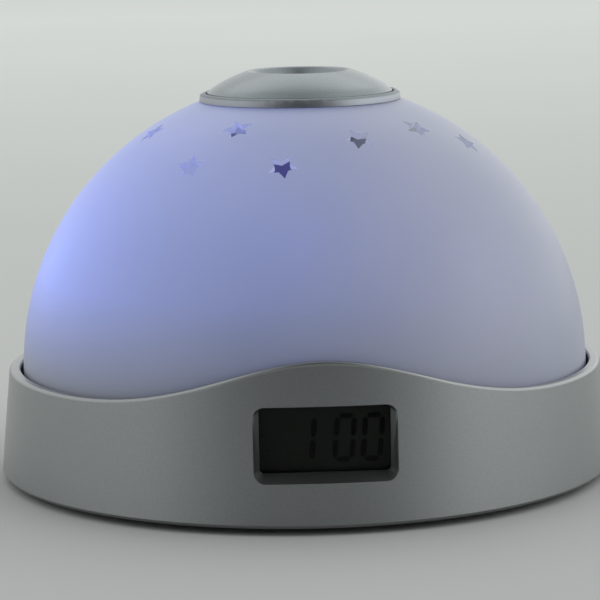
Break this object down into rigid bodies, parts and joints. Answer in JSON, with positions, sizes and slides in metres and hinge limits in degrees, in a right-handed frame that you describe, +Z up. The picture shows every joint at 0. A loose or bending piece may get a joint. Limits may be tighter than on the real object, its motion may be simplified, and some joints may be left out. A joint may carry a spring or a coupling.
{
  "type": "projection clock",
  "caption": "Dome-shaped bedside clock: silver skirt with a recessed display, frosted dome with star cut-outs lit from inside, and a push cap on top.",
  "frame": {"origin": "centre of the base on the table plane, at the underside of the feet", "axes": "+Z up, the display faces -Y, the keys face +Y"},
  "size_m": [0.1138, 0.1138, 0.0745],
  "materials": {
    "silver_paint": "satin metallic silver paint with a fine grain",
    "grey_plastic": "fine texture",
    "black_rubber": "matt",
    "bright_steel": "plated",
    "frosted_dome": "frosted, translucent",
    "white_plastic": "matt white",
    "green_board": "solder resist",
    "red_lamp": "clear tinted",
    "green_lamp": "clear tinted",
    "blue_lamp": "clear tinted",
    "bright_ring": "bright plated",
    "black_plastic": "fine texture",
    "cap_silver": "satin metallic silver paint",
    "smoked_lens": "polished, smoked",
    "clear_window": "polished",
    "lcd_glass": "dark display glass",
    "black_resin": "cast resin",
    "bright_can": "drawn can",
    "blue_sleeve": "shrunk sleeve",
    "key_grey": "satin silver grey",
    "pressed_steel": "pressed",
    "black_paper": "felted paper",
    "dark_magnet": "sintered",
    "cell_jacket": "printed jacket, plain",
    "wire_skin": "extruded",
    "wire_skin_red": "extruded"
  },
  "bodies": {
    "base": {"base_skirt": "silver_paint", "bottom_cover": "grey_plastic", "rubber_feet": "black_rubber", "case_screws": "bright_steel", "dome_diffuser": "frosted_dome", "dome_screws": "bright_steel", "reflector_plate": "white_plastic", "light_board": "green_board", "light_board_screws": "bright_steel", "red_led": "red_lamp", "green_led": "green_lamp", "blue_led": "blue_lamp", "trim_ring": "bright_ring", "retaining_ring": "black_plastic", "button_spring": "bright_steel", "switch_board": "green_board", "cap_switches": "black_plastic", "lcd_window": "clear_window", "lcd_panel": "lcd_glass", "lcd_frame": "white_plastic", "zebra_strips": "black_rubber", "main_board": "green_board", "display_screws": "bright_steel", "clock_chip": "black_resin", "crystal_can": "bright_can", "capacitor": "blue_sleeve", "key_board": "green_board", "key_switches": "black_plastic", "speaker_frame": "pressed_steel", "speaker_cone": "black_paper", "speaker_magnet": "dark_magnet", "battery_cells": "cell_jacket", "battery_contacts": "bright_steel", "battery_springs": "bright_steel", "switch_leads": "wire_skin", "light_leads": "wire_skin", "battery_leads": "wire_skin_red", "speaker_leads": "wire_skin_red", "key_leads": "wire_skin", "slide_case": "bright_steel"},
    "cap": {"top_button": "cap_silver", "projection_lens": "smoked_lens"},
    "mode_key_body": {"mode_key": "key_grey"},
    "set_key_body": {"set_key": "key_grey"},
    "up_key_body": {"up_key": "key_grey"},
    "down_key_body": {"down_key": "key_grey"},
    "slide_knob_body": {"slide_knob": "black_plastic"},
    "battery_door_body": {"battery_door": "grey_plastic"}
  },
  "joints": [
    {"name": "cap_press", "type": "slide", "parent": "base", "child": "cap", "axis": [0, 0, -1], "range_m": [0, 0.0012], "stiffness_N_per_m": 500, "springref_m": -0.002, "deforming": ["button_spring"]},
    {"name": "mode_press", "type": "slide", "parent": "base", "child": "mode_key_body", "axis": [0, -1, 0], "range_m": [0, 0.0006], "stiffness_N_per_m": 600, "springref_m": -0.0012},
    {"name": "set_press", "type": "slide", "parent": "base", "child": "set_key_body", "axis": [0, -1, 0], "range_m": [0, 0.0006], "stiffness_N_per_m": 600, "springref_m": -0.0012},
    {"name": "up_press", "type": "slide", "parent": "base", "child": "up_key_body", "axis": [0, -1, 0], "range_m": [0, 0.0006], "stiffness_N_per_m": 600, "springref_m": -0.0012},
    {"name": "down_press", "type": "slide", "parent": "base", "child": "down_key_body", "axis": [0, -1, 0], "range_m": [0, 0.0006], "stiffness_N_per_m": 600, "springref_m": -0.0012},
    {"name": "light_switch_slide", "type": "slide", "parent": "base", "child": "slide_knob_body", "axis": [1, 0, 0], "range_m": [0, 0.0024]},
    {"name": "battery_door_hinge", "type": "hinge", "parent": "base", "child": "battery_door_body", "pos_m": [0.0245, 0.006, 0.0028], "axis": [0, -1, 0], "range_deg": [0, 95]}
  ]
}
